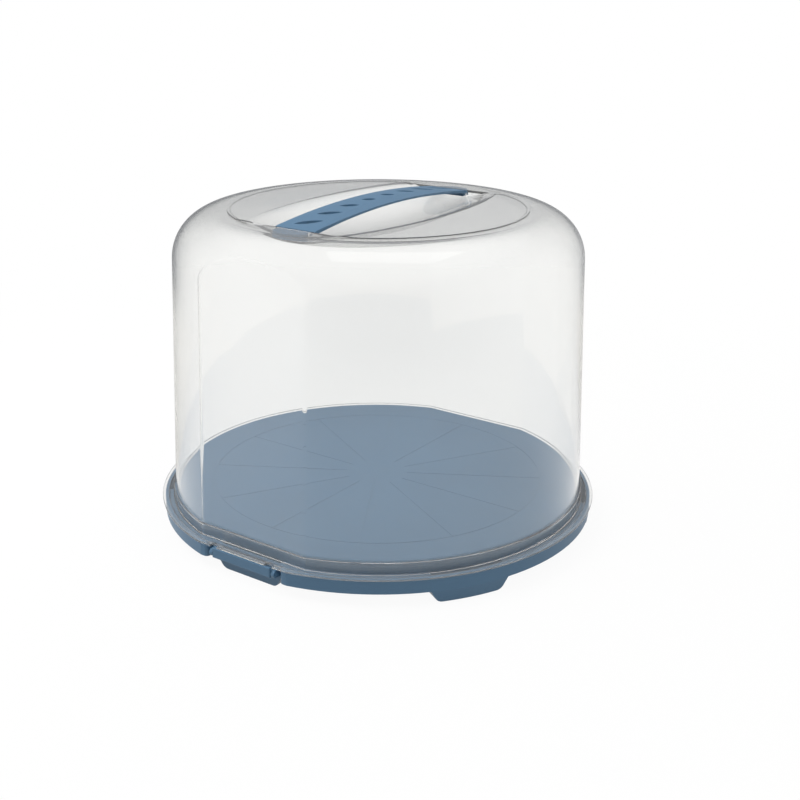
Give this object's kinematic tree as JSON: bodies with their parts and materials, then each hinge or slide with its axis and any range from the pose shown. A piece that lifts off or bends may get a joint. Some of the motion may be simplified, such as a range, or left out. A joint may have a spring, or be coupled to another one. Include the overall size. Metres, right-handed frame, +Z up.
{
  "type": "cake carrier with lift-off hood",
  "caption": "Round cake carrier: clear lift-off hood with an arched strap over a hand scoop, on a footed tray with hinged side latches.",
  "frame": {"origin": "centre of the footprint, on the plane of the feet", "axes": "+Z up from the feet; the latches and the ends of the strap lie along Y, the front latch at -Y"},
  "size_m": [0.355, 0.345, 0.26],
  "materials": {
    "blue_plastic": "satin moulded polypropylene, grey blue",
    "clear_plastic": "clear moulded polypropylene, smooth"
  },
  "bodies": {
    "tray": {"base": "blue_plastic"},
    "hood": {"hood": "clear_plastic", "handle": "blue_plastic"},
    "latch_front": {"latch_front": "blue_plastic"},
    "latch_back": {"latch_back": "blue_plastic"}
  },
  "joints": [
    {"name": "hood_lift", "type": "slide", "parent": "tray", "child": "hood", "axis": [0, 0, 1], "range_m": [0, 0.3]},
    {"name": "latch_front_hinge", "type": "hinge", "parent": "tray", "child": "latch_front", "pos_m": [0, -0.169, 0.015], "axis": [1, 0, 0], "range_deg": [0, 90]},
    {"name": "latch_back_hinge", "type": "hinge", "parent": "tray", "child": "latch_back", "pos_m": [0, 0.169, 0.015], "axis": [-1, 0, 0], "range_deg": [0, 90]}
  ]
}
